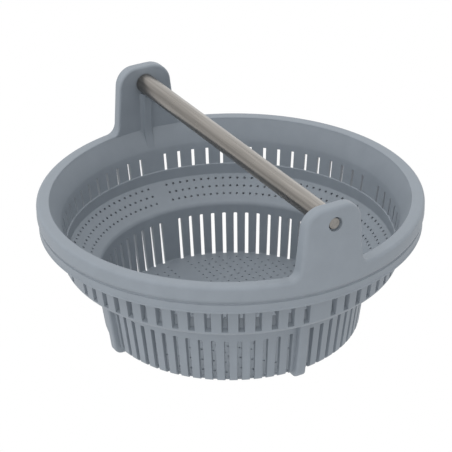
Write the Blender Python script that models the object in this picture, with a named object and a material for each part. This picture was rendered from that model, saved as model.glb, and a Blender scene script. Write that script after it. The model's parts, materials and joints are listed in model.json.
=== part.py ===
"""Two-tier strainer basket with a loose bar handle.

A one-piece plastic moulding (wide slotted upper ring, sloping shelf, narrower
slotted lower basket, floor, four rib feet and two upright lugs) carries a
stainless tube. A turned plug in each end of the tube runs in a hole through
its lug, so the tube turns freely about its own axis.

Metres, +Z up. The origin is on the basket's axis, level with the undersides of
the feet. The handle lies along X.
"""
import math

import bmesh
import bpy
from mathutils import Matrix, Vector

MM = 0.001

# Overall sizes
RIM_RADIUS = 120.0 * MM
RIM_TOP_Z = 89.1 * MM
FLOOR_TOP_Z = 4.3 * MM
FLOOR_UNDER_Z = 2.2 * MM

# Rim band and the skirt that hangs outside the upper wall
RIM_INNER_RADIUS = 111.7 * MM
RIM_EDGE = 0.9 * MM
RIM_SHOULDER = 2.2 * MM
HOLLOW_TOP_Z = 86.2 * MM
HOLLOW_INNER_RADIUS = 113.9 * MM
SKIRT_RADIUS = 118.6 * MM
SKIRT_INNER_RADIUS = 115.8 * MM
SKIRT_BOTTOM_Z = 71.6 * MM
SKIRT_LIP = 0.8 * MM
GROOVE_RADIUS = 118.0 * MM
GROOVE_TOP_Z = 80.2 * MM
GROOVE_BOTTOM_Z = 77.0 * MM
GROOVE_CHAMFER = 0.5 * MM

# Upper slotted wall (radius at the top and at the bottom of the slots)
UPPER_SLOT_TOP_Z = 70.6 * MM
UPPER_SLOT_BOTTOM_Z = 59.8 * MM
UPPER_CHANNEL_BOTTOM_Z = 52.4 * MM
UPPER_INNER_TOP_RADIUS = 104.6 * MM
UPPER_INNER_BOTTOM_RADIUS = 103.2 * MM
UPPER_OUTER_TOP_RADIUS = 107.8 * MM
UPPER_OUTER_BOTTOM_RADIUS = 105.6 * MM
UPPER_SLOT_INNER_WIDTH = 2.0 * MM
UPPER_SLOT_OUTER_WIDTH = 3.8 * MM
UPPER_EDGE_RADIUS = 104.2 * MM
UPPER_EDGE_Z = 50.0 * MM
FLANK_KNEE = (105.3 * MM, 74.0 * MM)
FLANK_MIDDLE = (107.4 * MM, 80.0 * MM)
FLANK_OUTER_KNEE = (108.2 * MM, 74.0 * MM)

# Ledge and sloping shelf between the two tiers
LEDGE_RADIUS = 102.3 * MM
LEDGE_DROP = 0.3 * MM
SHELF_OUTER = (101.8 * MM, 52.4 * MM)
SHELF_INNER = (84.4 * MM, 41.3 * MM)
SHELF_UNDER_OUTER = (102.8 * MM, 49.5 * MM)
SHELF_UNDER_INNER = (85.7 * MM, 38.4 * MM)
THROAT = (82.4 * MM, 38.4 * MM)

# Lower slotted wall
LOWER_SLOT_TOP_Z = 33.0 * MM
LOWER_SLOT_BOTTOM_Z = 5.3 * MM
LOWER_INNER_TOP_RADIUS = 81.7 * MM
LOWER_INNER_BOTTOM_RADIUS = 79.0 * MM
LOWER_OUTER_TOP_RADIUS = 85.0 * MM
LOWER_OUTER_BOTTOM_RADIUS = 81.4 * MM
LOWER_SLOT_INNER_WIDTH = 2.5 * MM
LOWER_SLOT_OUTER_WIDTH = 3.1 * MM
FLOOR_CORNER_RADIUS = 78.4 * MM
FLOOR_EDGE_RADIUS = 80.6 * MM
FLOOR_EDGE_Z = 3.3 * MM

# Slot pattern: each quarter has a blank column on the lug axis or across it
QUARTERS = 4
SLOTS_PER_QUARTER = 16
BLANK_HALF_ANGLE = math.radians(5.0)
BLANK_STATION_ANGLE = math.radians(1.7)

# Rib feet on the four blank columns, running on inwards under the floor
FOOT_WIDTH = 6.4 * MM
FOOT_DEPTH = 3.6 * MM
FOOT_ROOT = 1.2 * MM
FOOT_TOE_RADIUS = 4.5 * MM
FOOT_INNER_RADIUS = 70.0 * MM
FOOT_HEEL_SLOPE = 2.0 * MM

# Lugs
LUG_INNER_RADIUS = 112.2 * MM
LUG_OUTER_RADIUS = 119.6 * MM
LUG_ROOT_Z = 87.4 * MM
LUG_TOP_Z = 132.2 * MM
LUG_TOP_HALF_WIDTH = 18.4 * MM
LUG_BASE_HALF_WIDTH = 20.8 * MM
LUG_CORNER_RADIUS = 12.5 * MM
LUG_FILLET_RADIUS = 7.0 * MM
LUG_LEAN = 1.3 * MM
ARC_STEPS = 6
LUG_RIB_WIDTH = 6.6 * MM
LUG_RIB_FACE_RADIUS = 109.0 * MM
LUG_RIB_FOOT_Z = 80.5 * MM

# Handle
HANDLE_Z = 121.3 * MM
TUBE_RADIUS = 6.3 * MM
TUBE_BORE_RADIUS = 5.1 * MM
TUBE_HALF_LENGTH = 112.5 * MM
PLUG_RADIUS = 4.8 * MM
PLUG_LENGTH = 16.0 * MM
JOURNAL_RADIUS = 3.5 * MM
JOURNAL_RECESS = 1.1 * MM
BORE_RADIUS = 3.8 * MM
COUNTERBORE_RADIUS = 4.4 * MM
COUNTERBORE_DEPTH = 2.2 * MM
PLUG_CHAMFER = 0.5 * MM
TUBE_SEGMENTS = 40
PLUG_SEGMENTS = 28

RIB_HEADROOM = 0.7 * MM
CUT_MARGIN = 4.0 * MM

# Colours are linear
PLASTIC_COLOR = (0.228, 0.258, 0.292, 1.0)
STEEL_COLOR = (0.265, 0.25, 0.232, 1.0)
PLUG_COLOR = (0.265, 0.255, 0.24, 1.0)


def clear_scene():
    """Remove every object the file starts with."""
    for obj in list(bpy.data.objects):
        bpy.data.objects.remove(obj, do_unlink=True)


def make_material(name, color, metallic, roughness):
    """One Principled material."""
    material = bpy.data.materials.new(name)
    material.use_nodes = True
    shader = material.node_tree.nodes["Principled BSDF"]
    shader.inputs["Base Color"].default_value = color
    shader.inputs["Metallic"].default_value = metallic
    shader.inputs["Roughness"].default_value = roughness
    return material


def link_mesh(name, bm, material=None):
    """Turn a bmesh into a linked object with outward normals."""
    bmesh.ops.recalc_face_normals(bm, faces=bm.faces)
    mesh = bpy.data.meshes.new(name)
    bm.to_mesh(mesh)
    bm.free()
    obj = bpy.data.objects.new(name, mesh)
    bpy.context.collection.objects.link(obj)
    if material:
        mesh.materials.append(material)
    return obj


def apply_boolean(target, tool, operation):
    """Apply one exact Boolean to target and remove the tool."""
    modifier = target.modifiers.new(operation.title(), "BOOLEAN")
    modifier.operation = operation
    modifier.solver = "EXACT"
    modifier.object = tool
    depsgraph = bpy.context.evaluated_depsgraph_get()
    result = bpy.data.meshes.new_from_object(target.evaluated_get(depsgraph))
    target.modifiers.clear()
    target.data = result
    bpy.data.objects.remove(tool, do_unlink=True)


def shade(obj, sharp_angle=35.0):
    """Smooth shading with sharp corners kept."""
    obj.data.shade_smooth()
    obj.data.set_sharp_from_angle(angle=math.radians(sharp_angle))


def slot_centres():
    """Angle of every slot; the blanks lie on the X and Y axes."""
    quarter = 2 * math.pi / QUARTERS
    step = (quarter - 2 * BLANK_HALF_ANGLE) / (SLOTS_PER_QUARTER - 1)
    return [
        q * quarter + BLANK_HALF_ANGLE + k * step
        for q in range(QUARTERS)
        for k in range(SLOTS_PER_QUARTER)
    ]


def ring_angles(radius, slot_width):
    """Stations of one ring: both edges of every slot, and two in each blank."""
    half_angle = math.asin(slot_width / 2 / radius)
    quarter = 2 * math.pi / QUARTERS
    angles = []
    for index, centre in enumerate(slot_centres()):
        if index % SLOTS_PER_QUARTER == 0:
            blank = (index // SLOTS_PER_QUARTER) * quarter
            angles += [blank - BLANK_STATION_ANGLE, blank + BLANK_STATION_ANGLE]
        angles += [centre - half_angle, centre + half_angle]
    return angles


def slot_sectors():
    """Index of the station that starts each slot's sector."""
    per_quarter = 2 * SLOTS_PER_QUARTER + 2
    return [
        q * per_quarter + 2 + 2 * k
        for q in range(QUARTERS)
        for k in range(SLOTS_PER_QUARTER)
    ]


def basket_profile():
    """Section from the underside, out and up over the rim, back in to the floor.

    Each entry is (radius, z, slot width, label). The label marks the rings
    that bound the slots.
    """
    wide = UPPER_SLOT_OUTER_WIDTH
    slit = UPPER_SLOT_INNER_WIDTH
    low_wide = LOWER_SLOT_OUTER_WIDTH
    low_slit = LOWER_SLOT_INNER_WIDTH
    return [
        (FLOOR_CORNER_RADIUS, FLOOR_UNDER_Z, low_wide, ""),
        (FLOOR_EDGE_RADIUS, FLOOR_EDGE_Z, low_wide, ""),
        (LOWER_OUTER_BOTTOM_RADIUS, LOWER_SLOT_BOTTOM_Z, low_wide, "lower out bottom"),
        (LOWER_OUTER_TOP_RADIUS, LOWER_SLOT_TOP_Z, low_wide, "lower out top"),
        (*SHELF_UNDER_INNER, low_wide, ""),
        (*SHELF_UNDER_OUTER, wide, ""),
        (UPPER_EDGE_RADIUS, UPPER_EDGE_Z, wide, ""),
        (UPPER_OUTER_BOTTOM_RADIUS, UPPER_CHANNEL_BOTTOM_Z, wide, "upper out bottom"),
        (UPPER_OUTER_TOP_RADIUS, UPPER_SLOT_TOP_Z, wide, "upper out top"),
        (*FLANK_OUTER_KNEE, wide, ""),
        (HOLLOW_INNER_RADIUS, HOLLOW_TOP_Z, wide, ""),
        (SKIRT_INNER_RADIUS, HOLLOW_TOP_Z, wide, ""),
        (SKIRT_INNER_RADIUS, SKIRT_BOTTOM_Z, wide, ""),
        (SKIRT_RADIUS - SKIRT_LIP, SKIRT_BOTTOM_Z, wide, ""),
        (SKIRT_RADIUS, SKIRT_BOTTOM_Z + SKIRT_LIP, wide, ""),
        (SKIRT_RADIUS, GROOVE_BOTTOM_Z, wide, ""),
        (GROOVE_RADIUS, GROOVE_BOTTOM_Z + GROOVE_CHAMFER, wide, ""),
        (GROOVE_RADIUS, GROOVE_BOTTOM_Z + 3 * GROOVE_CHAMFER, wide, ""),
        (RIM_RADIUS, GROOVE_TOP_Z, wide, ""),
        (RIM_RADIUS, RIM_TOP_Z - RIM_SHOULDER, wide, ""),
        (RIM_RADIUS - RIM_EDGE, RIM_TOP_Z - RIM_EDGE, wide, ""),
        (RIM_RADIUS - RIM_SHOULDER, RIM_TOP_Z, wide, ""),
        (RIM_INNER_RADIUS + RIM_EDGE, RIM_TOP_Z, wide, ""),
        (RIM_INNER_RADIUS, RIM_TOP_Z - RIM_EDGE, wide, ""),
        (*FLANK_MIDDLE, wide, ""),
        (*FLANK_KNEE, slit, ""),
        (UPPER_INNER_TOP_RADIUS, UPPER_SLOT_TOP_Z, slit, "upper in top"),
        (UPPER_INNER_BOTTOM_RADIUS, UPPER_SLOT_BOTTOM_Z, slit, "upper in bottom"),
        (LEDGE_RADIUS, UPPER_SLOT_BOTTOM_Z - LEDGE_DROP, slit, ""),
        (*SHELF_OUTER, slit, ""),
        (*SHELF_INNER, low_slit, ""),
        (*THROAT, low_slit, ""),
        (LOWER_INNER_TOP_RADIUS, LOWER_SLOT_TOP_Z, low_slit, "lower in top"),
        (LOWER_INNER_BOTTOM_RADIUS, LOWER_SLOT_BOTTOM_Z, low_slit, "lower in bottom"),
        (FLOOR_CORNER_RADIUS, FLOOR_TOP_Z, low_slit, ""),
    ]


def basket_shell():
    """Turned shell with both rows of slots, as one closed mesh."""
    bm = bmesh.new()
    profile = basket_profile()
    rings = []
    for radius, z, width, _label in profile:
        ring = [
            bm.verts.new((radius * math.cos(a), radius * math.sin(a), z))
            for a in ring_angles(radius, width)
        ]
        rings.append(ring)
    index_of = {label: i for i, (_r, _z, _w, label) in enumerate(profile) if label}
    tiers = [
        ("lower out bottom", "lower out top", "lower in top", "lower in bottom"),
        ("upper out bottom", "upper out top", "upper in top", "upper in bottom"),
    ]
    open_spans = set()
    for out_bottom, out_top, in_top, in_bottom in tiers:
        open_spans |= {index_of[out_bottom], index_of[in_top]}
    sectors = set(slot_sectors())
    count = len(rings[0])
    for i in range(len(rings) - 1):
        for j in range(count):
            if i in open_spans and j in sectors:
                continue
            k = (j + 1) % count
            bm.faces.new((rings[i][j], rings[i][k], rings[i + 1][k], rings[i + 1][j]))
    for corner_labels in tiers:
        loop = [rings[index_of[label]] for label in corner_labels]
        for j in sectors:
            for a, b in zip(loop, loop[1:] + loop[:1]):
                if (a, b) in ((loop[0], loop[1]), (loop[2], loop[3])):
                    continue
                bm.faces.new((a[j], a[j + 1], b[j + 1], b[j]))
            bm.faces.new([ring[j] for ring in loop])
            bm.faces.new([ring[j + 1] for ring in loop])
    for ring, z in ((rings[0], FLOOR_UNDER_Z), (rings[-1], FLOOR_TOP_Z)):
        centre = bm.verts.new((0.0, 0.0, z))
        for j in range(count):
            bm.faces.new((ring[j], ring[(j + 1) % count], centre))
    return bm


def prism_mesh(outline, axis_matrix, low, high):
    """Closed prism: an (u, v) outline extruded along w from low to high."""
    bm = bmesh.new()
    sides = []
    for w in (low, high):
        sides.append([bm.verts.new(axis_matrix @ Vector((u, v, w))) for u, v in outline])
    count = len(outline)
    for i in range(count):
        k = (i + 1) % count
        bm.faces.new((sides[0][i], sides[0][k], sides[1][k], sides[1][i]))
    for side in sides:
        bm.faces.new(side)
    return bm


def turned_mesh(outline, segments):
    """Mesh and its rings of points about X, one ring for each (x, radius) point."""
    bm = bmesh.new()
    rings = []
    for x, radius in outline:
        ring = []
        for k in range(segments):
            angle = 2 * math.pi * k / segments
            ring.append(bm.verts.new((x, radius * math.cos(angle), radius * math.sin(angle))))
        rings.append(ring)
    return bm, rings


def skin_rings(bm, rings, closed):
    """Quads between neighbouring rings; end discs when the run isn't closed."""
    pairs = list(zip(rings, rings[1:]))
    if closed:
        pairs.append((rings[-1], rings[0]))
    for first, second in pairs:
        count = len(first)
        for k in range(count):
            n = (k + 1) % count
            bm.faces.new((first[k], first[n], second[n], second[k]))
    if not closed:
        bm.faces.new(rings[0])
        bm.faces.new(rings[-1])
    return bm


def arc(centre, radius, start, end):
    """Points on an arc in degrees, ends included."""
    points = []
    for k in range(ARC_STEPS + 1):
        angle = math.radians(start + (end - start) * k / ARC_STEPS)
        points.append((centre[0] + radius * math.cos(angle), centre[1] + radius * math.sin(angle)))
    return points


def lug_outline():
    """Upright lug seen along X: flared foot, tapering sides, rounded top."""
    fillet_z = RIM_TOP_Z + LUG_FILLET_RADIUS
    fillet_y = LUG_BASE_HALF_WIDTH + LUG_FILLET_RADIUS
    corner_y = LUG_TOP_HALF_WIDTH - LUG_CORNER_RADIUS
    corner_z = LUG_TOP_Z - LUG_CORNER_RADIUS
    right = arc((fillet_y, fillet_z), LUG_FILLET_RADIUS, 270.0, 180.0)
    right += arc((corner_y, corner_z), LUG_CORNER_RADIUS, 0.0, 90.0)
    right = [(fillet_y, LUG_ROOT_Z)] + right
    return right + [(-y, z) for y, z in reversed(right)]


def lug_lean(z):
    """How far the lugs lean out at a height."""
    return LUG_LEAN * max(0.0, z - RIM_TOP_Z) / (LUG_TOP_Z - RIM_TOP_Z)


def lug_ring():
    """Ring the lugs are cut from, on the rim's stations, opening out above the rim."""
    bottom, top = LUG_ROOT_Z - MM, LUG_TOP_Z + MM
    section = [
        (LUG_INNER_RADIUS, bottom),
        (LUG_OUTER_RADIUS, bottom),
        (LUG_OUTER_RADIUS, RIM_TOP_Z),
        (LUG_OUTER_RADIUS + lug_lean(top), top),
        (LUG_INNER_RADIUS + lug_lean(top), top),
        (LUG_INNER_RADIUS, RIM_TOP_Z),
    ]
    bm = bmesh.new()
    rings = []
    for radius, z in section:
        angles = ring_angles(radius, UPPER_SLOT_OUTER_WIDTH)
        rings.append([
            bm.verts.new((radius * math.cos(a), radius * math.sin(a), z)) for a in angles
        ])
    return skin_rings(bm, rings, closed=True)


def x_axis_matrix():
    """Frame whose (u, v, w) are (Y, Z, X)."""
    return Matrix(((0, 0, 1), (1, 0, 0), (0, 1, 0))).to_4x4()


def xz_axis_matrix():
    """Frame whose (u, v, w) are (X, Z, Y)."""
    return Matrix(((1, 0, 0), (0, 0, 1), (0, 1, 0))).to_4x4()


def add_lugs(basket):
    """Both lugs: one long prism cut down to a ring that stands on the rim."""
    reach = RIM_RADIUS + CUT_MARGIN
    lugs = link_mesh("lugs", prism_mesh(lug_outline(), x_axis_matrix(), -reach, reach))
    apply_boolean(lugs, link_mesh("lug_ring", lug_ring()), "INTERSECT")
    apply_boolean(basket, lugs, "UNION")


def add_lug_ribs(basket):
    """Upright rib below the tube on each lug's inner face, fading into the flank."""
    top_z = HANDLE_Z - TUBE_RADIUS - RIB_HEADROOM
    for sign in (-1, 1):
        outline = [
            (sign * (LUG_INNER_RADIUS + 2 * MM), top_z),
            (sign * LUG_RIB_FACE_RADIUS, top_z),
            (sign * LUG_RIB_FACE_RADIUS, LUG_RIB_FOOT_Z),
            (sign * (LUG_INNER_RADIUS + MM), RIM_TOP_Z - MM),
        ]
        half = LUG_RIB_WIDTH / 2
        rib = prism_mesh(outline, xz_axis_matrix(), -half, half)
        apply_boolean(basket, link_mesh("lug_rib", rib), "UNION")


def add_feet(basket):
    """Rib foot on each blank column, from under the shelf down and in under the floor."""
    top_z = SHELF_INNER[1]
    root_z = FLOOR_TOP_Z - MM
    toe_x = LOWER_OUTER_BOTTOM_RADIUS + FOOT_DEPTH - FOOT_TOE_RADIUS
    outline = arc((toe_x, FOOT_TOE_RADIUS), FOOT_TOE_RADIUS, -90.0, 0.0)
    outline += [
        (LOWER_OUTER_TOP_RADIUS + FOOT_DEPTH, top_z),
        (LOWER_OUTER_TOP_RADIUS - FOOT_ROOT, top_z),
        (LOWER_OUTER_BOTTOM_RADIUS - FOOT_ROOT, root_z),
        (FOOT_INNER_RADIUS - FOOT_HEEL_SLOPE, root_z),
        (FOOT_INNER_RADIUS, 0.0),
    ]
    half = FOOT_WIDTH / 2
    for quarter in range(QUARTERS):
        turn = Matrix.Rotation(quarter * 2 * math.pi / QUARTERS, 4, "Z")
        foot = prism_mesh(outline, turn @ xz_axis_matrix(), -half, half)
        apply_boolean(basket, link_mesh("foot", foot), "UNION")


def cut_journal_holes(basket):
    """Bore with a counterbored mouth for the journal in both lugs."""
    seat_x = LUG_OUTER_RADIUS + lug_lean(HANDLE_Z) - COUNTERBORE_DEPTH
    for sign in (-1, 1):
        outline = [
            (sign * (LUG_INNER_RADIUS - CUT_MARGIN), BORE_RADIUS),
            (sign * seat_x, BORE_RADIUS),
            (sign * seat_x, COUNTERBORE_RADIUS),
            (sign * (RIM_RADIUS + CUT_MARGIN), COUNTERBORE_RADIUS),
        ]
        bm, rings = turned_mesh(outline, PLUG_SEGMENTS)
        skin_rings(bm, rings, closed=False)
        bmesh.ops.translate(bm, vec=(0, 0, HANDLE_Z), verts=bm.verts)
        apply_boolean(basket, link_mesh("journal_hole", bm), "DIFFERENCE")


def make_basket(material):
    """The whole moulding."""
    basket = link_mesh("basket", basket_shell(), material)
    add_lugs(basket)
    add_lug_ribs(basket)
    add_feet(basket)
    cut_journal_holes(basket)
    shade(basket)
    return basket


def make_tube(material, axis):
    """Handle tube, open at both ends, centred on the joint axis."""
    edge = PLUG_CHAMFER
    end = TUBE_HALF_LENGTH
    outline = [
        (-end, TUBE_BORE_RADIUS),
        (-end, TUBE_RADIUS - edge),
        (-end + edge, TUBE_RADIUS),
        (end - edge, TUBE_RADIUS),
        (end, TUBE_RADIUS - edge),
        (end, TUBE_BORE_RADIUS),
    ]
    bm, rings = turned_mesh(outline, TUBE_SEGMENTS)
    tube = link_mesh("handle_tube", skin_rings(bm, rings, closed=True), material)
    tube.parent = axis
    shade(tube)
    return tube


def make_plug(name, sign, material, axis):
    """Turned end plug: a body inside the tube and a journal through the lug."""
    start = TUBE_HALF_LENGTH - PLUG_LENGTH
    tip = LUG_OUTER_RADIUS + lug_lean(HANDLE_Z) - JOURNAL_RECESS
    outline = [
        (start, PLUG_RADIUS - PLUG_CHAMFER),
        (start + PLUG_CHAMFER, PLUG_RADIUS),
        (TUBE_HALF_LENGTH, PLUG_RADIUS),
        (TUBE_HALF_LENGTH, JOURNAL_RADIUS),
        (tip - PLUG_CHAMFER, JOURNAL_RADIUS),
        (tip, JOURNAL_RADIUS - PLUG_CHAMFER),
    ]
    outline = [(sign * x, radius) for x, radius in outline]
    bm, rings = turned_mesh(outline, PLUG_SEGMENTS)
    plug = link_mesh(name, skin_rings(bm, rings, closed=False), material)
    plug.parent = axis
    shade(plug)
    return plug


def main():
    """Build every piece."""
    clear_scene()
    plastic = make_material("grey_plastic", PLASTIC_COLOR, 0.0, 0.55)
    steel = make_material("brushed_tube_steel", STEEL_COLOR, 1.0, 0.38)
    turned = make_material("turned_plug_steel", PLUG_COLOR, 1.0, 0.32)
    make_basket(plastic)
    axis = bpy.data.objects.new("handle_axis", None)
    axis.location = (0.0, 0.0, HANDLE_Z)
    bpy.context.collection.objects.link(axis)
    make_tube(steel, axis)
    make_plug("end_plug_pos_x", 1, turned, axis)
    make_plug("end_plug_neg_x", -1, turned, axis)


main()
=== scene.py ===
# Finished looks for the strainer basket: one plastic moulding, the bar that
# turns between its two lugs, and the turned plugs that carry the bar.
# Metres, +Z up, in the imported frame. The bar lies along X, and the basket is its
# own mirror image across both vertical planes through its axis, X and Y.
import json
import math
from collections import namedtuple

import bmesh
import bpy
from mathutils import Matrix, Vector


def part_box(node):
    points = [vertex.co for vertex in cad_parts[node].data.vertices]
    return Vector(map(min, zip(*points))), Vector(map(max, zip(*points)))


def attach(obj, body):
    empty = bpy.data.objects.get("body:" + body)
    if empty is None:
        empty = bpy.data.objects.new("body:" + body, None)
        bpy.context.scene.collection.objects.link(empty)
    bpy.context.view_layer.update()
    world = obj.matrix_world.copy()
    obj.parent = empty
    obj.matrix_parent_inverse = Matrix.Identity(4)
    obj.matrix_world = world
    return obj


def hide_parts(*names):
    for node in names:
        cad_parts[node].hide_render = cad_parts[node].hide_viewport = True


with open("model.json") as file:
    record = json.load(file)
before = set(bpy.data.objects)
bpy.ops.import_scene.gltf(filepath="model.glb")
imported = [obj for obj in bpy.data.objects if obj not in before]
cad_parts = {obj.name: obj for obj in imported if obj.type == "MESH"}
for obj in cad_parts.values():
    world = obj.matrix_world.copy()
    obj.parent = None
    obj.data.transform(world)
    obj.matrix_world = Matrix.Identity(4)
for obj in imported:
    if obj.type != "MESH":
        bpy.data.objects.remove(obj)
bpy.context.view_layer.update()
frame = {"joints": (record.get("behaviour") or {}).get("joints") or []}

MM = 0.001
QUARTER = math.pi / 2
QUARTERS = 4

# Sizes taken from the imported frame. The finished bar stops just short of the
# packed one, which keeps its ends clear of the leaning lugs.
RIM_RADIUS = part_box("basket")[1].y
LUG_TOP_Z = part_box("basket")[1].z
TUBE_END_GAP = 0.4 * MM
TUBE_END_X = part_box("handle_tube")[1].x - TUBE_END_GAP
TUBE_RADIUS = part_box("handle_tube")[1].y
PLUG_TIP_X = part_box("end_plug_pos_x")[1].x
PLUG_START_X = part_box("end_plug_pos_x")[0].x
PIVOT_Z = frame["joints"][0]["pos_m"][2]

# Rim and floor of the moulding, and how its edges are rounded
RIM_TOP_Z = 89.1 * MM
RIM_INNER_RADIUS = 111.7 * MM
RIM_SHOULDER = 2.2 * MM
RIM_INNER_EDGE = 0.9 * MM
LUG_INNER_EDGE = 1.6 * MM
FLOOR_TOP_Z = 4.3 * MM

# Section corners as (radius, height, fillet radius) in millimetres.
# Outside: from under the floor to the rim band.
OUTSIDE_CORNERS = (
    (60.0, 2.2, 0.0),  # underside of the floor
    (80.9, 2.2, 3.0),  # foot of the lower wall
    (85.75, 38.4, 1.5),  # top of the lower wall
    (105.1, 49.65, 4.0),  # outer end of the shelf
    (108.3, 71.0, 2.0),  # top of the slotted upper wall
    (108.6, 74.5, 2.0),  # back of the flank
    (113.4, 86.2, 0.8),  # roof of the hollow under the rim
    (115.8, 86.2, 0.8),
    (115.8, 71.6, 0.6),  # lower edge of the hanging skirt
    (119.0, 71.6, 0.5),
    (118.9, 72.6, 0.3),  # step above that edge
    (118.6, 73.0, 0.3),
    (118.9, 77.1, 0.35),  # groove round the skirt
    (118.05, 77.6, 0.4),
    (118.2, 78.3, 0.4),
    (RIM_RADIUS / MM, 80.2, 4.2),  # rim band, up to the rounded shoulder
    (RIM_RADIUS / MM, 83.0, 0.0),
)
# Inside: a curved flank from the rim's inner edge, then corners down to the floor.
FLANK_TOP = (111.68, 88.15)
FLANK_CONTROL = (106.46, 78.9)
FLANK_KNEE = (105.0, 74.0)
INSIDE_CORNERS = (
    (104.6, 70.7, 0.0),  # top of the slotted upper wall
    (103.1, 59.75, 0.25),  # sill of the upper slots
    (102.3, 59.35, 0.25),
    (101.8, 52.3, 1.0),  # outer end of the shelf
    (82.45, 39.95, 4.0),  # inner end of the shelf
    (79.0, 4.3, 0.8),  # edge of the floor
    (60.0, 4.3, 0.0),
)
FILLET_STEPS = 5
FLANK_STEPS = 6
EDGE_STEPS = 5

# Walls that the slots go through, as (radius, height) at two heights
UPPER_WALL = ((105.5 * MM, 52.3 * MM), (107.8 * MM, 67.3 * MM))
UPPER_INSIDE = ((103.1 * MM, 59.7 * MM), (104.6 * MM, 70.7 * MM))
LOWER_WALL = ((81.3 * MM, 5.3 * MM), (85.0 * MM, 32.8 * MM))
LOWER_INSIDE = ((79.0 * MM, 4.3 * MM), (81.8 * MM, 33.1 * MM))

# Slots: sixteen to a quarter, with a blank column at each end of X and Y. They
# narrow from a mouth outside to a slit inside. Below its sill an upper slot runs
# on as a blind recess that ramps out; a lower slot notches the floor's edge.
SLOTS_PER_QUARTER = 16
BLANK_HALF_ANGLE = math.radians(5.0)
SLOT_STEP = (QUARTER - 2 * BLANK_HALF_ANGLE) / (SLOTS_PER_QUARTER - 1)
STATIONS_PER_SLOT = 4
UPPER_MOUTH_WIDTH = 3.9 * MM
UPPER_SLIT_WIDTH = 1.9 * MM
UPPER_SLOT_TOP_Z = 70.7 * MM
UPPER_SILL_Z = 59.6 * MM
UPPER_SILL_RISE = 0.04 * MM
RECESS_RADIUS = 103.0 * MM
RECESS_TURN_Z = 53.1 * MM
RECESS_EXIT_Z = 51.3 * MM
RECESS_EXIT_RADIUS = 105.4 * MM
LOWER_SLOT_TOP_Z = 33.0 * MM
LOWER_SLOT_EXIT_Z = -1.0 * MM
LOWER_MOUTH_WIDTH = 2.9 * MM
LOWER_SLIT_WIDTH = 2.3 * MM
LOWER_FLOOR_NOTCH = 0.8 * MM
SLOT_CORNER = 0.6 * MM
SLOT_FLARE = 0.12 * MM
CUT_REACH = 1.6 * MM
CORNER_STEPS = 4

# Drain holes: rings in the shelf, as (radius, height), and a grid in the floor
SHELF_RINGS = ((99.0 * MM, 50.5 * MM), (93.8 * MM, 47.2 * MM), (88.7 * MM, 44.0 * MM))
SHELF_HOLE_RADIUS = 0.8 * MM
SHELF_HOLES_PER_QUARTER = 30
SHELF_HOLE_START = math.radians(3.95)
FLOOR_HOLE_RADIUS = 0.65 * MM
FLOOR_HOLE_LIMIT = 73.5 * MM
FLOOR_ROW_START = 7.6 * MM
FLOOR_ROW_STEP = 5.25 * MM
FLOOR_COLUMN_START = 4.8 * MM
FLOOR_COLUMN_STEP = 5.2 * MM
SHELF_HOLE_FLARE = 0.12 * MM
FLOOR_HOLE_FLARE = 0.25 * MM
HOLE_DEPTH = 5.0 * MM
HOLE_SIDES = 12

# Lugs: flared foot, leaning sides, rounded top
LUG_FOOT_CENTRE = 27.9 * MM
LUG_FOOT_RADIUS = 6.9 * MM
LUG_CORNER_CENTRE = 6.2 * MM
LUG_CORNER_RADIUS = 12.5 * MM
LUG_SIDE_LEAN = math.radians(5.5)
LUG_LEAN = 1.3 * MM
LUG_FOOT_STEPS = 9
LUG_CORNER_STEPS = 12
LUG_TOP_STEPS = 3

# Rib inside each lug. Below its straight part the front dies into the flank,
# through the (radius, height) points of LUG_RIB_FOOT.
LUG_RIB_RADIUS = 109.0 * MM
LUG_RIB_BACK = 113.2 * MM
LUG_RIB_HALF_WIDTH = 2.65 * MM
LUG_RIB_EDGE = 0.5 * MM
LUG_RIB_FILLET = 2.4 * MM
LUG_RIB_TOP_Z = 114.3 * MM
LUG_RIB_BACK_Z = 86.8 * MM
LUG_RIB_FOOT = (
    (108.6 * MM, 86.0 * MM),
    (107.5 * MM, 81.5 * MM),
    (106.1 * MM, 77.0 * MM),
)

# Rib feet on the blank columns: a front that runs up the lower wall, and a heel
# that runs in under the floor
FOOT_HALF_WIDTH = 3.4 * MM
FOOT_EDGE = 1.5 * MM
FOOT_SOLE_EDGE = 0.6 * MM
FOOT_DEPTH = 3.7 * MM
FOOT_ROOT = 1.2 * MM
FOOT_TOE_RADIUS = 4.6 * MM
FOOT_INNER_RADIUS = 70.0 * MM
FOOT_HEEL_SLOPE = 2.0 * MM
FOOT_HEEL_END = 80.5 * MM
FOOT_TOP_Z = 41.0 * MM
FOOT_STEPS = 6

# Pivot bores in the lugs, bar tube and plugs
BORE_RADIUS = 3.8 * MM
COUNTERBORE_RADIUS = 4.4 * MM
COUNTERBORE_DEPTH = 2.2 * MM
BORE_FLARE = 0.35 * MM
BORE_SIDES = 48
TUBE_WALL = 1.2 * MM
TUBE_EDGE = 0.7 * MM
TUBE_SIDES = 96
PLUG_BODY_RADIUS = 4.8 * MM
JOURNAL_RADIUS = 3.5 * MM
PLUG_EDGE = 0.35 * MM

# Shading: where faces meet at more than these angles, the edge stays sharp
BASKET_SHARP = math.radians(25.0)
TUBE_SHARP = math.radians(50.0)
PLUG_SHARP = math.radians(40.0)
NORMAL_WEIGHT = 70

# Camera, at the angle the object was photographed from: it stands back from the
# target along that angle, and looks at the aim
CAMERA_AZIMUTH = math.radians(60.6)
CAMERA_ELEVATION = math.radians(26.9)
CAMERA_DISTANCE = 1209.1 * MM
CAMERA_TARGET = Vector((0.0, 0.0, 87.3 * MM))
CAMERA_AIM = Vector((6.15 * MM, -6.8 * MM, 70.4 * MM))
CAMERA_ROLL = math.radians(-0.815)
CAMERA_LENS = 155.49
CAMERA_SENSOR = 36.0

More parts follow.
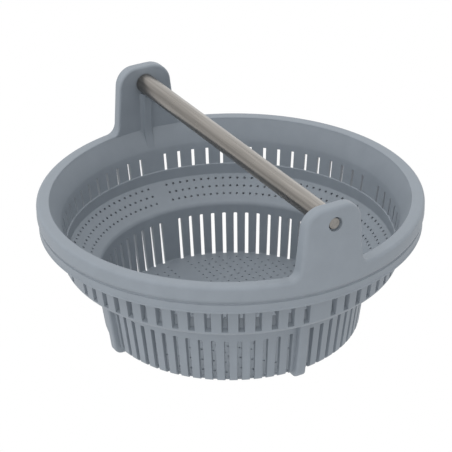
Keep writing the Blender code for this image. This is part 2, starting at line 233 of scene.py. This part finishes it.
# Light: a white stage that glows a little less as a light than it does to the
# camera, and a white sky. The sky is SKY_TOP where a direction's height is over
# SKY_HIGH. Under SKY_LOW it is SKY_LEVEL plus a slope along X and Y, which is
# SKY_SIDE as a light and SKY_SHEEN in reflections. It changes smoothly between.
STAGE_SIZE = 12.0
STAGE_GLOW = 0.95
SKY_LOW = 0.3
SKY_HIGH = 0.8
SKY_LEVEL = 0.94
SKY_SIDE = Vector((-0.08, -0.71, 0.0))
SKY_SHEEN = Vector((-0.1, 0.5, 0.0))
SKY_TOP = 1.36
WHITE = (1.0, 1.0, 1.0, 1.0)
BLACK = (0.0, 0.0, 0.0, 1.0)

# Materials. Colours are linear. A noise is (scale, detail), a bump is
# (strength, distance), and NOISE_SPAN is where most of a noise's values lie.
NOISE_SPAN = (0.3, 0.7)
NO_STRETCH = (1.0, 1.0, 1.0)

# Plastic: mottle in colour and gloss, moulded ripple, fine grain
PLASTIC_COLOR = (0.228, 0.258, 0.292)
PLASTIC_MOTTLE = (90.0, 4.0)
PLASTIC_TINT = (0.965, 1.035)
PLASTIC_ROUGHNESS = (0.46, 0.56)
PLASTIC_RIPPLE = (120.0, 1.0)
PLASTIC_RIPPLE_BUMP = (0.25, 0.25 * MM)
PLASTIC_GRAIN = (1400.0, 3.0)
PLASTIC_GRAIN_BUMP = (0.22, 0.06 * MM)
PLASTIC_SPECULAR = 0.4

# Steel: streaks in colour and bump, clouds in gloss
TUBE_COLOR = (0.265, 0.25, 0.232)
TUBE_ROUGHNESS = 0.28
TUBE_STREAKS = (1000.0, 4.0)
TUBE_STRETCH = (0.02, 1.0, 1.0)
PLUG_COLOR = (0.265, 0.255, 0.24)
PLUG_ROUGHNESS = 0.30
PLUG_STREAKS = (900.0, 4.0)
STEEL_TINT = (0.84, 1.14)
STEEL_CLOUDS = (60.0, 3.0)
STEEL_SMOOTHER = 0.04
STEEL_ROUGHER = 0.05
STEEL_BUMP = (0.25, 0.04 * MM)

# A place on the way round the rim and over the lugs. turn says which lug's half
# it is in, and angle is measured from that lug. On a lug, across and height are
# its place in the outline and normal points out of it; elsewhere they are None.
# radial runs from 1 on the rim, where the wall is cut radially, to 0 on a lug.
Station = namedtuple("Station", "turn angle across height normal radial")


class Solid:
    """Points and faces of one or more closed shells, gathered for one mesh."""

    def __init__(self):
        self.points = []
        self.faces = []

    def loft(self, sections, loop=False):
        """Skins sections of equal length; a loop joins its ends instead of capping."""
        base = len(self.points)
        count = len(sections[0])
        for section in sections:
            self.points.extend(section)
        spans = len(sections) if loop else len(sections) - 1
        for i in range(spans):
            here = base + i * count
            there = base + (i + 1) % len(sections) * count
            for j in range(count):
                k = (j + 1) % count
                self.faces.append((here + j, here + k, there + k, there + j))
        if not loop:
            last = base + (len(sections) - 1) * count
            self.faces.append(tuple(range(base, base + count)))
            self.faces.append(tuple(range(last, last + count)))

    def build(self, name):
        """Makes the object, with every face turned outwards."""
        mesh = bpy.data.meshes.new(name)
        mesh.from_pydata(self.points, [], self.faces)
        bm = bmesh.new()
        bm.from_mesh(mesh)
        bmesh.ops.recalc_face_normals(bm, faces=bm.faces[:])
        bm.to_mesh(mesh)
        bm.free()
        obj = bpy.data.objects.new(name, mesh)
        bpy.context.scene.collection.objects.link(obj)
        return obj


def polar(radius, angle, z):
    """Point at a radius and angle about the basket's axis."""
    return Vector((radius * math.cos(angle), radius * math.sin(angle), z))


def mix(start, end, share):
    """Value or vector part of the way from start to end."""
    return start + (end - start) * share


def smooth_step(share):
    """A share from 0 to 1 that starts and stops gently."""
    return share * share * (3.0 - 2.0 * share)


def arc(centre, radius, start, end, steps):
    """Points on an arc between two angles, ends included."""
    points = []
    for k in range(steps + 1):
        angle = mix(start, end, k / steps)
        points.append((centre[0] + radius * math.cos(angle), centre[1] + radius * math.sin(angle)))
    return points


def rounded_path(corners):
    """(radius, height) points in metres along corners with fillets."""
    points = []
    for i, (r, z, fillet) in enumerate(corners):
        corner = Vector((r, z))
        if not fillet or i in (0, len(corners) - 1):
            points.append(corner * MM)
            continue
        back = (Vector(corners[i - 1][:2]) - corner).normalized()
        ahead = (Vector(corners[i + 1][:2]) - corner).normalized()
        half = back.angle(ahead) / 2
        reach = fillet / math.tan(half)
        middle = corner + (back + ahead).normalized() * fillet / math.sin(half)
        first = corner + back * reach - middle
        last = corner + ahead * reach - middle
        sweep = math.atan2(first.cross(last), first.dot(last))
        for k in range(FILLET_STEPS + 1):
            turn = Matrix.Rotation(sweep * k / FILLET_STEPS, 2)
            points.append((middle + turn @ first) * MM)
    return points


def wall_radius(wall, z):
    """Radius of a leaning wall at a height."""
    (low_radius, low_z), (high_radius, high_z) = wall
    return mix(low_radius, high_radius, (z - low_z) / (high_z - low_z))


# ---------------------------------------------------------------- stations

def lug_half_outline():
    """Lug outline from the rim to its top centre: (across, height, normal, radial)."""
    outline = []
    foot = (LUG_FOOT_CENTRE, RIM_TOP_Z + LUG_FOOT_RADIUS)
    for k in range(LUG_FOOT_STEPS + 1):
        share = k / LUG_FOOT_STEPS
        angle = mix(3 * QUARTER, math.pi + LUG_SIDE_LEAN, share)
        normal = Vector((-math.cos(angle), -math.sin(angle)))
        across = foot[0] + LUG_FOOT_RADIUS * math.cos(angle)
        height = foot[1] + LUG_FOOT_RADIUS * math.sin(angle)
        outline.append((across, height, normal, 1.0 - smooth_step(share)))
    corner = (LUG_CORNER_CENTRE, LUG_TOP_Z - LUG_CORNER_RADIUS)
    for k in range(LUG_CORNER_STEPS + 1):
        angle = mix(LUG_SIDE_LEAN, QUARTER, k / LUG_CORNER_STEPS)
        normal = Vector((math.cos(angle), math.sin(angle)))
        across = corner[0] + LUG_CORNER_RADIUS * math.cos(angle)
        height = corner[1] + LUG_CORNER_RADIUS * math.sin(angle)
        outline.append((across, height, normal, 0.0))
    for k in range(1, LUG_TOP_STEPS):
        across = LUG_CORNER_CENTRE * (1 - k / LUG_TOP_STEPS)
        outline.append((across, LUG_TOP_Z, Vector((0.0, 1.0)), 0.0))
    return outline


def lug_stations(turn):
    """Stations over one lug, in order of angle."""
    half = lug_half_outline()
    stations = []
    for across, height, normal, radial in half:
        angle = math.asin(across / RIM_RADIUS)
        mirrored = Vector((-normal.x, normal.y))
        stations.append(Station(turn, -angle, -across, height, mirrored, radial))
    stations.append(Station(turn, 0.0, 0.0, LUG_TOP_Z, Vector((0.0, 1.0)), 0.0))
    for across, height, normal, radial in reversed(half):
        angle = math.asin(across / RIM_RADIUS)
        stations.append(Station(turn, angle, across, height, normal, radial))
    return stations


def rim_stations(turn):
    """Stations on the plain rim between two lugs, several to each slot."""
    lug_edge = math.asin(LUG_FOOT_CENTRE / RIM_RADIUS)
    clear = SLOT_STEP / STATIONS_PER_SLOT / 2
    blank = BLANK_HALF_ANGLE - SLOT_STEP / 2
    angles = []
    for start in (0.0, QUARTER):
        angles += [start - blank / 2, start, start + blank / 2]
        for k in range(SLOTS_PER_QUARTER * STATIONS_PER_SLOT + 1):
            angles.append(start + blank + k * SLOT_STEP / STATIONS_PER_SLOT)
    low, high = lug_edge + clear, math.pi - lug_edge - clear
    return [Station(turn, a, None, None, None, 1.0) for a in angles if low < a < high]


def all_stations():
    """Every station once round, starting at the foot of the +X lug."""
    stations = []
    for turn in (0.0, math.pi):
        stations += lug_stations(turn) + rim_stations(turn)
    return stations


# ------------------------------------------------------------------ shell

def edge_section(station):
    """(radius, inset) points over the edge at a station, from outside to inside."""
    inner_edge = mix(LUG_INNER_EDGE, RIM_INNER_EDGE, station.radial)
    section = []
    for k in range(EDGE_STEPS + 1):
        angle = QUARTER * k / EDGE_STEPS
        drop = RIM_SHOULDER * (1 - math.sin(angle))
        section.append((RIM_RADIUS - RIM_SHOULDER * (1 - math.cos(angle)), drop))
    section.append(((RIM_RADIUS + RIM_INNER_RADIUS) / 2, 0.0))
    for k in range(EDGE_STEPS + 1):
        angle = QUARTER * (1 - k / EDGE_STEPS)
        drop = inner_edge * (1 - math.sin(angle))
        section.append((RIM_INNER_RADIUS + inner_edge * (1 - math.cos(angle)), drop))
    return section


def lug_lean(z):
    """How far the lugs lean out at a height."""
    return LUG_LEAN * max(0.0, z - RIM_TOP_Z) / (LUG_TOP_Z - RIM_TOP_Z)


def edge_point(station, radius, inset):
    """Point of the edge, inset from the outline: radial on the rim, along X on a lug."""
    if station.height is None:
        return polar(radius, station.turn + station.angle, RIM_TOP_Z - inset)
    across = station.across - inset * station.normal.x
    across *= 1 - station.radial * (1 - radius / RIM_RADIUS)
    z = station.height - inset * station.normal.y
    point = Vector((math.sqrt(radius * radius - across * across) + lug_lean(z), across, z))
    return Matrix.Rotation(station.turn, 3, "Z") @ point


def turned_sections():
    """Section points below the edge, outside and inside, as (radius, height)."""
    outside = rounded_path(OUTSIDE_CORNERS)
    top, control, knee = (Vector(p) * MM for p in (FLANK_TOP, FLANK_CONTROL, FLANK_KNEE))
    inside = []
    for k in range(FLANK_STEPS + 1):
        share = k / FLANK_STEPS
        inside.append(mix(mix(top, control, share), mix(control, knee, share), share))
    return outside, inside + rounded_path(INSIDE_CORNERS)


def make_shell():
    """Turned basket with the lugs standing up out of its rim, before any cut."""
    stations = all_stations()
    outside, inside = turned_sections()
    edges = [edge_section(station) for station in stations]
    sections = [[polar(r, s.turn + s.angle, z) for s in stations] for r, z in outside]
    for ring in zip(*edges):
        sections.append([edge_point(s, *place) for s, place in zip(stations, ring)])
    sections += [[polar(r, s.turn + s.angle, z) for s in stations] for r, z in inside]
    shell = Solid()
    shell.loft(sections)
    return shell.build("basket_moulding")


def foot_sections():
    """Plan outlines of a rib foot from its sole up to the shelf, toe rounded."""
    toe_x = wall_radius(LOWER_WALL, FOOT_TOE_RADIUS) + FOOT_DEPTH - FOOT_TOE_RADIUS
    levels = []
    for x, z in arc((toe_x, FOOT_TOE_RADIUS), FOOT_TOE_RADIUS, -QUARTER, 0.0, FOOT_STEPS):
        levels.append((z, x))
    levels.append((FOOT_TOP_Z, wall_radius(LOWER_WALL, FOOT_TOP_Z) + FOOT_DEPTH))
    sections = []
    for z, front in levels:
        half = FOOT_HALF_WIDTH - FOOT_SOLE_EDGE * max(0.0, 1 - z / FOOT_SOLE_EDGE) ** 2
        back = wall_radius(LOWER_WALL, z) - FOOT_ROOT
        corner = arc((front - FOOT_EDGE, half - FOOT_EDGE), FOOT_EDGE, 0.0, QUARTER, CORNER_STEPS)
        side = corner + [(min(back, front - 2 * FOOT_EDGE), half)]
        plan = side + [(x, -y) for x, y in reversed(side)]
        sections.append([Vector((x, y, z)) for x, y in plan])
    return sections


def heel_sections():
    """Plan outlines of the part of a foot that runs in under the floor."""
    levels = (
        (0.0, FOOT_HALF_WIDTH - FOOT_SOLE_EDGE),
        (FOOT_SOLE_EDGE, FOOT_HALF_WIDTH),
        (FLOOR_TOP_Z - FOOT_ROOT, FOOT_HALF_WIDTH),
    )
    sections = []
    for z, half in levels:
        start = FOOT_INNER_RADIUS - FOOT_HEEL_SLOPE * z / FLOOR_TOP_Z
        plan = ((start, -half), (FOOT_HEEL_END, -half), (FOOT_HEEL_END, half), (start, half))
        sections.append([Vector((x, y, z)) for x, y in plan])
    return sections


def lug_rib():
    """Plan outlines of the rib inside a lug: rounded front, filleted sides, fading foot."""
    half, edge, fillet = LUG_RIB_HALF_WIDTH, LUG_RIB_EDGE, LUG_RIB_FILLET
    straight = ((LUG_RIB_RADIUS, LUG_RIB_TOP_Z), (LUG_RIB_RADIUS, RIM_TOP_Z))
    sections = []
    for front, z in straight + LUG_RIB_FOOT:
        side = arc((front + edge, half - edge), edge, math.pi, QUARTER, CORNER_STEPS)
        root = (RIM_INNER_RADIUS + lug_lean(z) - fillet, half + fillet)
        side += arc(root, fillet, -QUARTER, 0.0, CORNER_STEPS)[1:]
        side.append((LUG_RIB_BACK, half + fillet))
        rise = max(0.0, LUG_RIB_BACK_Z - z) / (LUG_RIB_BACK - front)
        plan = side + [(x, -y) for x, y in reversed(side)]
        sections.append([Vector((x, y, z + rise * (x - front))) for x, y in plan])
    return sections


# ------------------------------------------------------------------- cuts

def slot_angles():
    """Angle of every slot; the columns on X and Y stay blank."""
    return [
        q * QUARTER + BLANK_HALF_ANGLE + k * SLOT_STEP
        for q in range(QUARTERS)
        for k in range(SLOTS_PER_QUARTER)
    ]


def rounded_rectangle(half_width, low, high, corner):
    """Outline of an upright rectangle with rounded corners."""
    points = []
    centres = (
        (half_width - corner, high - corner),
        (corner - half_width, high - corner),
        (corner - half_width, low + corner),
        (half_width - corner, low + corner),
    )
    for i, centre in enumerate(centres):
        points += arc(centre, corner, i * QUARTER, (i + 1) * QUARTER, CORNER_STEPS)
    return points


def lower_section(wall, width, offset, extra):
    """Lower slot's outline on a wall, moved out by offset and grown by extra."""
    low, high = LOWER_SLOT_EXIT_Z - extra, LOWER_SLOT_TOP_Z + extra
    outline = rounded_rectangle(width / 2 + extra, low, high, SLOT_CORNER + extra)
    return [Vector((wall_radius(wall, z) + offset, y, z)) for y, z in outline]


def lower_slot():
    """Through slot, wider outside, open at the floor's edge."""
    reach = CUT_REACH / 2
    return [
        lower_section(LOWER_INSIDE, LOWER_SLIT_WIDTH, -LOWER_FLOOR_NOTCH, SLOT_FLARE),
        lower_section(LOWER_INSIDE, LOWER_SLIT_WIDTH, SLOT_FLARE, 0.0),
        lower_section(LOWER_WALL, LOWER_MOUTH_WIDTH, -SLOT_FLARE, 0.0),
        lower_section(LOWER_WALL, LOWER_MOUTH_WIDTH, reach, SLOT_FLARE + reach),
    ]


def upper_section(z, root):
    """Plan of an upper slot at a height, tapered from its mouth in to its root's radius."""
    inner, outer = wall_radius(UPPER_INSIDE, z), wall_radius(UPPER_WALL, z)
    slit, mouth = UPPER_SLIT_WIDTH / 2, UPPER_MOUTH_WIDTH / 2
    waist = max(inner, root + SLOT_FLARE)
    brow = max(outer - SLOT_FLARE, waist + SLOT_FLARE)
    waist_half = mix(slit, mouth, (waist - inner) / (outer - inner))
    side = [
        (root, waist_half),
        (waist, waist_half),
        (brow, mouth),
        (brow + CUT_REACH, mouth + CUT_REACH),
    ]
    plan = side + [(x, -y) for x, y in reversed(side)]
    return [Vector((x, y, z)) for x, y in plan]


def upper_slot():
    """Tapered through slot above the sill, and the blind recess that ramps out below."""
    return [
        upper_section(RECESS_EXIT_Z, RECESS_EXIT_RADIUS),
        upper_section(RECESS_TURN_Z, RECESS_RADIUS),
        upper_section(UPPER_SILL_Z, RECESS_RADIUS),
        upper_section(UPPER_SILL_Z + UPPER_SILL_RISE, RECESS_RADIUS - CUT_REACH),
        upper_section(UPPER_SLOT_TOP_Z, RECESS_RADIUS - CUT_REACH),
    ]


def spread(solid, sections, angles):
    """Adds copies of a lofted shape turned to each angle."""
    for angle in angles:
        turn = Matrix.Rotation(angle, 3, "Z")
        solid.loft([[turn @ point for point in section] for section in sections])


def hole_sections(mouth, axis, radius, flare):
    """Round cutter into a face, against the axis, flared at its mouth."""
    side = axis.orthogonal().normalized()
    other = axis.cross(side)
    sections = []
    for reach, grown in ((-HOLE_DEPTH, 0.0), (-flare, 0.0), (flare, 2 * flare)):
        ring = []
        for k in range(HOLE_SIDES):
            angle = 2 * math.pi * k / HOLE_SIDES
            spoke = side * math.cos(angle) + other * math.sin(angle)
            ring.append(mouth + axis * reach + spoke * (radius + grown))
        sections.append(ring)
    return sections


def add_shelf_holes(solid):
    """Three rings of holes square to the sloping shelf."""
    (high_radius, high_z), (low_radius, low_z) = SHELF_RINGS[0], SHELF_RINGS[-1]
    axis = Vector((low_z - high_z, 0.0, high_radius - low_radius)).normalized()
    step = (QUARTER - 2 * SHELF_HOLE_START) / (SHELF_HOLES_PER_QUARTER - 1)
    angles = [
        q * QUARTER + SHELF_HOLE_START + k * step
        for q in range(QUARTERS)
        for k in range(SHELF_HOLES_PER_QUARTER)
    ]
    for radius, z in SHELF_RINGS:
        mouth = Vector((radius, 0.0, z))
        spread(solid, hole_sections(mouth, axis, SHELF_HOLE_RADIUS, SHELF_HOLE_FLARE), angles)


def add_floor_holes(solid):
    """Square grid of holes in the floor, blank along the X and Y axes."""
    up = Vector((0.0, 0.0, 1.0))
    count = math.ceil(FLOOR_HOLE_LIMIT / FLOOR_COLUMN_STEP)
    for i in range(count):
        for j in range(count):
            x = FLOOR_COLUMN_START + i * FLOOR_COLUMN_STEP
            y = FLOOR_ROW_START + j * FLOOR_ROW_STEP
            if math.hypot(x, y) > FLOOR_HOLE_LIMIT:
                continue
            for centre in ((x, y), (-x, y), (-x, -y), (x, -y)):
                mouth = Vector((*centre, FLOOR_TOP_Z))
                solid.loft(hole_sections(mouth, up, FLOOR_HOLE_RADIUS, FLOOR_HOLE_FLARE))


def turned_rings(outline, sides, sign=1):
    """Rings about the handle's axis from (x, radius) points."""
    rings = []
    for x, radius in outline:
        ring = []
        for k in range(sides):
            angle = 2 * math.pi * k / sides
            y, z = radius * math.cos(angle), radius * math.sin(angle)
            ring.append(Vector((sign * x, y, PIVOT_Z + z)))
        rings.append(ring)
    return rings


def add_bores(solid):
    """Pivot bore in each lug, with a flared counterbore outside."""
    face = RIM_RADIUS + lug_lean(PIVOT_Z)
    seat = face - COUNTERBORE_DEPTH
    outline = (
        (RIM_INNER_RADIUS - 2 * CUT_REACH, BORE_RADIUS),
        (seat, BORE_RADIUS),
        (seat, COUNTERBORE_RADIUS),
        (face - BORE_FLARE, COUNTERBORE_RADIUS),
        (face + CUT_REACH, COUNTERBORE_RADIUS + BORE_FLARE + CUT_REACH),
    )
    for sign in (-1, 1):
        solid.loft(turned_rings(outline, BORE_SIDES, sign))


def apply_boolean(target, tool, operation):
    """Applies one Boolean to target and removes the tool."""
    modifier = target.modifiers.new("boolean", "BOOLEAN")
    modifier.operation = operation
    modifier.solver = "MANIFOLD"
    modifier.object = tool
    depsgraph = bpy.context.evaluated_depsgraph_get()
    result = bpy.data.meshes.new_from_object(target.evaluated_get(depsgraph))
    target.modifiers.clear()
    target.data = result
    bpy.data.objects.remove(tool, do_unlink=True)


def join(target, sections, angles):
    """Joins a lofted solid onto target at each angle."""
    solid = Solid()
    spread(solid, sections, angles)
    apply_boolean(target, solid.build("joined"), "UNION")


def finish_shading(obj, material, sharp_angle):
    """Smooth shading with sharp corners kept, and the material."""
    obj.data.materials.clear()
    obj.data.materials.append(material)
    obj.data.shade_smooth()
    obj.data.set_sharp_from_angle(angle=sharp_angle)
    modifier = obj.modifiers.new("weighted_normals", "WEIGHTED_NORMAL")
    modifier.keep_sharp = True
    modifier.mode = "FACE_AREA"
    modifier.weight = NORMAL_WEIGHT


def make_basket(material):
    """The whole moulding: ribs joined on, slots and holes cut, then feet joined on."""
    basket = make_shell()
    join(basket, lug_rib(), (0.0, math.pi))
    cuts = Solid()
    spread(cuts, upper_slot(), slot_angles())
    spread(cuts, lower_slot(), slot_angles())
    add_shelf_holes(cuts)
    add_floor_holes(cuts)
    add_bores(cuts)
    apply_boolean(basket, cuts.build("cuts"), "DIFFERENCE")
    blank_columns = [k * QUARTER for k in range(QUARTERS)]
    join(basket, heel_sections(), blank_columns)
    join(basket, foot_sections(), blank_columns)
    finish_shading(basket, material, BASKET_SHARP)
    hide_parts("basket")
    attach(basket, "basket")


# ----------------------------------------------------------------- handle

def make_tube(material):
    """Bar tube with rounded ends."""
    edge = (TUBE_END_X - TUBE_EDGE, TUBE_RADIUS - TUBE_EDGE)
    outline = [(TUBE_END_X, TUBE_RADIUS - TUBE_WALL)]
    outline += arc(edge, TUBE_EDGE, 0.0, QUARTER, FILLET_STEPS)
    outline += [(-x, r) for x, r in reversed(outline)]
    solid = Solid()
    solid.loft(turned_rings(outline, TUBE_SIDES), loop=True)
    tube = solid.build("handle_bar")
    finish_shading(tube, material, TUBE_SHARP)
    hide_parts("handle_tube")
    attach(tube, "handle")


def make_plug(name, node, sign, material):
    """Turned plug: body inside the tube, journal through the lug."""
    tip = (PLUG_TIP_X - PLUG_EDGE, JOURNAL_RADIUS - PLUG_EDGE)
    outline = [
        (PLUG_START_X, PLUG_BODY_RADIUS - PLUG_EDGE),
        (PLUG_START_X + PLUG_EDGE, PLUG_BODY_RADIUS),
        (TUBE_END_X - PLUG_EDGE, PLUG_BODY_RADIUS),
        (TUBE_END_X, PLUG_BODY_RADIUS - PLUG_EDGE),
        (TUBE_END_X, JOURNAL_RADIUS),
    ]
    outline += arc(tip, PLUG_EDGE, QUARTER, 0.0, FILLET_STEPS)
    solid = Solid()
    solid.loft(turned_rings(outline, BORE_SIDES, sign))
    plug = solid.build(name)
    finish_shading(plug, material, PLUG_SHARP)
    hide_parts(node)
    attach(plug, "handle")


# -------------------------------------------------------------- materials

def new_material(name):
    """A material, its node tree and its Principled shader."""
    material = bpy.data.materials.new(name)
    material.use_nodes = True
    return material, material.node_tree, material.node_tree.nodes["Principled BSDF"]


def noise_node(tree, noise, stretch=NO_STRETCH):
    """Noise in the object's own coordinates, which are scaled by the stretch."""
    scale, detail = noise
    coordinates = tree.nodes.new("ShaderNodeTexCoord")
    mapping = tree.nodes.new("ShaderNodeMapping")
    mapping.inputs["Scale"].default_value = stretch
    node = tree.nodes.new("ShaderNodeTexNoise")
    node.inputs["Scale"].default_value = scale
    node.inputs["Detail"].default_value = detail
    tree.links.new(coordinates.outputs["Object"], mapping.inputs["Vector"])
    tree.links.new(mapping.outputs["Vector"], node.inputs["Vector"])
    return node.outputs["Fac"]


def range_node(tree, source, low, high, span=NOISE_SPAN):
    """Spreads the span of a value over low to high."""
    node = tree.nodes.new("ShaderNodeMapRange")
    node.inputs["From Min"].default_value = span[0]
    node.inputs["From Max"].default_value = span[1]
    node.inputs["To Min"].default_value = low
    node.inputs["To Max"].default_value = high
    tree.links.new(source, node.inputs["Value"])
    return node.outputs["Result"]


def tint_node(tree, color, factor):
    """A colour made lighter and darker by a factor."""
    node = tree.nodes.new("ShaderNodeVectorMath")
    node.operation = "SCALE"
    node.inputs[0].default_value = color
    tree.links.new(factor, node.inputs["Scale"])
    return node.outputs["Vector"]


def bump_node(tree, height, bump, below=None):
    """Bump from a height, over another bump if there is one."""
    strength, distance = bump
    node = tree.nodes.new("ShaderNodeBump")
    node.inputs["Strength"].default_value = strength
    node.inputs["Distance"].default_value = distance
    tree.links.new(height, node.inputs["Height"])
    if below:
        tree.links.new(below, node.inputs["Normal"])
    return node.outputs["Normal"]


def plastic_material():
    """Blue-grey moulded plastic: slight mottle, soft ripple and fine grain."""
    material, tree, shader = new_material("blue_grey_plastic")
    mottle = noise_node(tree, PLASTIC_MOTTLE)
    grain = noise_node(tree, PLASTIC_GRAIN)
    ripple = noise_node(tree, PLASTIC_RIPPLE)
    color = tint_node(tree, PLASTIC_COLOR, range_node(tree, mottle, *PLASTIC_TINT))
    tree.links.new(color, shader.inputs["Base Color"])
    tree.links.new(range_node(tree, mottle, *PLASTIC_ROUGHNESS), shader.inputs["Roughness"])
    soft = bump_node(tree, ripple, PLASTIC_RIPPLE_BUMP)
    fine = bump_node(tree, grain, PLASTIC_GRAIN_BUMP, soft)
    tree.links.new(fine, shader.inputs["Normal"])
    shader.inputs["Specular IOR Level"].default_value = PLASTIC_SPECULAR
    return material


def steel_material(name, color, roughness, streaks, stretch=NO_STRETCH):
    """Satin stainless steel: streaks drawn out by the stretch, and cloudy gloss."""
    material, tree, shader = new_material(name)
    streak = noise_node(tree, streaks, stretch)
    cloud = noise_node(tree, STEEL_CLOUDS)
    streaked = tint_node(tree, color, range_node(tree, streak, *STEEL_TINT))
    tree.links.new(streaked, shader.inputs["Base Color"])
    low, high = roughness - STEEL_SMOOTHER, roughness + STEEL_ROUGHER
    tree.links.new(range_node(tree, cloud, low, high), shader.inputs["Roughness"])
    tree.links.new(bump_node(tree, streak, STEEL_BUMP), shader.inputs["Normal"])
    shader.inputs["Metallic"].default_value = 1.0
    return material


# ------------------------------------------------------------------ stage

def make_floor():
    """Plain floor: white to the camera, a little dimmer as a light from below."""
    bpy.ops.mesh.primitive_plane_add(size=STAGE_SIZE, location=(0.0, 0.0, 0.0))
    floor = bpy.context.object
    floor.name = "floor"
    material, tree, shader = new_material("white_floor")
    path = tree.nodes.new("ShaderNodeLightPath")
    glow = range_node(tree, path.outputs["Is Camera Ray"], STAGE_GLOW, 1.0, span=(0.0, 1.0))
    tree.links.new(glow, shader.inputs["Emission Strength"])
    shader.inputs["Emission Color"].default_value = WHITE
    shader.inputs["Base Color"].default_value = BLACK
    shader.inputs["Specular IOR Level"].default_value = 0.0
    shader.inputs["Roughness"].default_value = 1.0
    floor.data.materials.append(material)


def low_sky(tree, direction):
    """Strength of the sky low down: a level plus a slope, another one in reflections."""
    path = tree.nodes.new("ShaderNodeLightPath")
    slope = tree.nodes.new("ShaderNodeVectorMath")
    slope.operation = "MULTIPLY_ADD"
    slope.inputs[1].default_value = SKY_SHEEN - SKY_SIDE
    slope.inputs[2].default_value = SKY_SIDE
    tree.links.new(path.outputs["Is Glossy Ray"], slope.inputs[0])
    side = tree.nodes.new("ShaderNodeVectorMath")
    side.operation = "DOT_PRODUCT"
    tree.links.new(direction, side.inputs[0])
    tree.links.new(slope.outputs["Vector"], side.inputs[1])
    level = tree.nodes.new("ShaderNodeMath")
    level.inputs[1].default_value = SKY_LEVEL
    tree.links.new(side.outputs["Value"], level.inputs[0])
    return level.outputs["Value"]


def make_world():
    """White sky: even overhead, brighter on one side than on the other lower down."""
    world = bpy.data.worlds.new("studio")
    bpy.context.scene.world = world
    world.use_nodes = True
    tree = world.node_tree
    direction = tree.nodes.new("ShaderNodeTexCoord").outputs["Generated"]
    split = tree.nodes.new("ShaderNodeSeparateXYZ")
    tree.links.new(direction, split.inputs["Vector"])
    blend = tree.nodes.new("ShaderNodeMapRange")
    blend.interpolation_type = "SMOOTHSTEP"
    blend.inputs["From Min"].default_value = SKY_LOW
    blend.inputs["From Max"].default_value = SKY_HIGH
    blend.inputs["To Max"].default_value = SKY_TOP
    tree.links.new(split.outputs["Z"], blend.inputs["Value"])
    tree.links.new(low_sky(tree, direction), blend.inputs["To Min"])
    background = tree.nodes["Background"]
    background.inputs["Color"].default_value = WHITE
    tree.links.new(blend.outputs["Result"], background.inputs["Strength"])


def make_camera():
    """Camera at the photographed angle, rolled a little as the photograph is."""
    data = bpy.data.cameras.new("camera")
    data.lens = CAMERA_LENS
    data.sensor_width = CAMERA_SENSOR
    camera = bpy.data.objects.new("camera", data)
    flat = math.cos(CAMERA_ELEVATION)
    back = Vector((
        math.sin(CAMERA_AZIMUTH) * flat,
        -math.cos(CAMERA_AZIMUTH) * flat,
        math.sin(CAMERA_ELEVATION),
    ))
    camera.location = CAMERA_TARGET + back * CAMERA_DISTANCE
    level = (CAMERA_AIM - camera.location).to_track_quat("-Z", "Y").to_matrix()
    camera.rotation_euler = (level @ Matrix.Rotation(CAMERA_ROLL, 3, "Z")).to_euler()
    bpy.context.scene.collection.objects.link(camera)
    bpy.context.scene.camera = camera


def main():
    """Builds every piece, the floor, the sky and the camera."""
    make_basket(plastic_material())
    satin = steel_material(
        "satin_tube_steel", TUBE_COLOR, TUBE_ROUGHNESS, TUBE_STREAKS, TUBE_STRETCH
    )
    make_tube(satin)
    turned = steel_material("turned_plug_steel", PLUG_COLOR, PLUG_ROUGHNESS, PLUG_STREAKS)
    make_plug("pivot_plug_pos_x", "end_plug_pos_x", 1, turned)
    make_plug("pivot_plug_neg_x", "end_plug_neg_x", -1, turned)
    make_floor()
    make_world()
    make_camera()
    bpy.context.scene.view_settings.view_transform = "Standard"


main()
